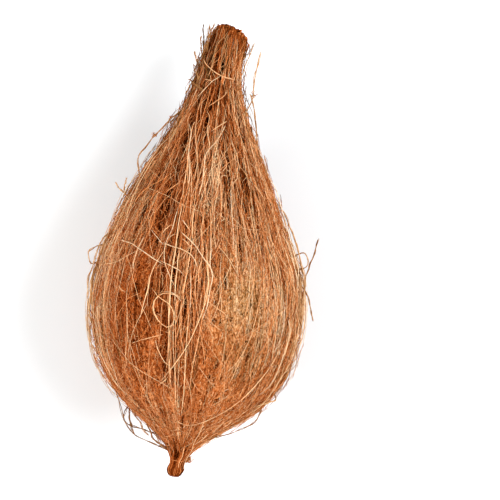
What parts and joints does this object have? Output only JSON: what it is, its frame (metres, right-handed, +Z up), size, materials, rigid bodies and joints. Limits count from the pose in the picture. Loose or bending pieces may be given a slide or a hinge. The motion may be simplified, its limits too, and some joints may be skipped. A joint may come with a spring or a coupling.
{
  "type": "coconut",
  "caption": "Whole coconut in its coir husk, combed up into a blunt fibre tuft at one end and tied off by a small knot of fibre at the other; lies on its side.",
  "frame": {"origin": "middle of the small flat spot on the underside that the coconut rests on", "axes": "+Z up, +Y along the coconut towards the fibre tuft, +X to the right when the tuft points away; the coconut lies on its side with its long axis 6 degrees tuft-down"},
  "size_m": [0.1234, 0.2415, 0.1155],
  "materials": {
    "coir": "matt dry fibre, orange brown with paler and darker strands"
  },
  "bodies": {
    "root": {"coconut": "coir"}
  },
  "joints": []
}
